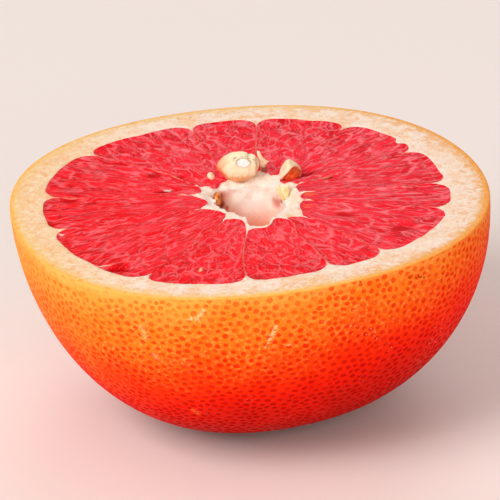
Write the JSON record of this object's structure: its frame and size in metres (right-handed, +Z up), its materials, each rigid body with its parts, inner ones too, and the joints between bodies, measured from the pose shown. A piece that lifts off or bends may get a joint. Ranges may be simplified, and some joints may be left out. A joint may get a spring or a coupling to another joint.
{
  "type": "grapefruit half",
  "caption": "Half a red grapefruit, cut across the middle: dimpled orange skin, white pith, ruby segments, torn open core with seeds; rests on its rounded end.",
  "frame": {"origin": "middle of the flat spot the half rests on, centred under the cut face", "axes": "+Z up, square to the level cut face; -Y towards the front, the side the torn tip of the core points to; +X to the right of it"},
  "size_m": [0.109, 0.109, 0.0568],
  "materials": {
    "skin": "waxy orange citrus skin, dimpled with oil glands, satin",
    "pith": "soft spongy cream pith, matt and fibrous",
    "flesh": "wet ruby red juice sacs, glossy and translucent",
    "membrane": "thin pale wet membrane between the segments",
    "seed_coat": "cream papery seed coat, slightly moist"
  },
  "bodies": {
    "root": {"half_grapefruit": "skin", "seed_large": "seed_coat", "seed_back_right": "seed_coat", "seed_small_left": "seed_coat", "seed_left_wall": "seed_coat", "seed_right_wall": "seed_coat"}
  },
  "joints": []
}
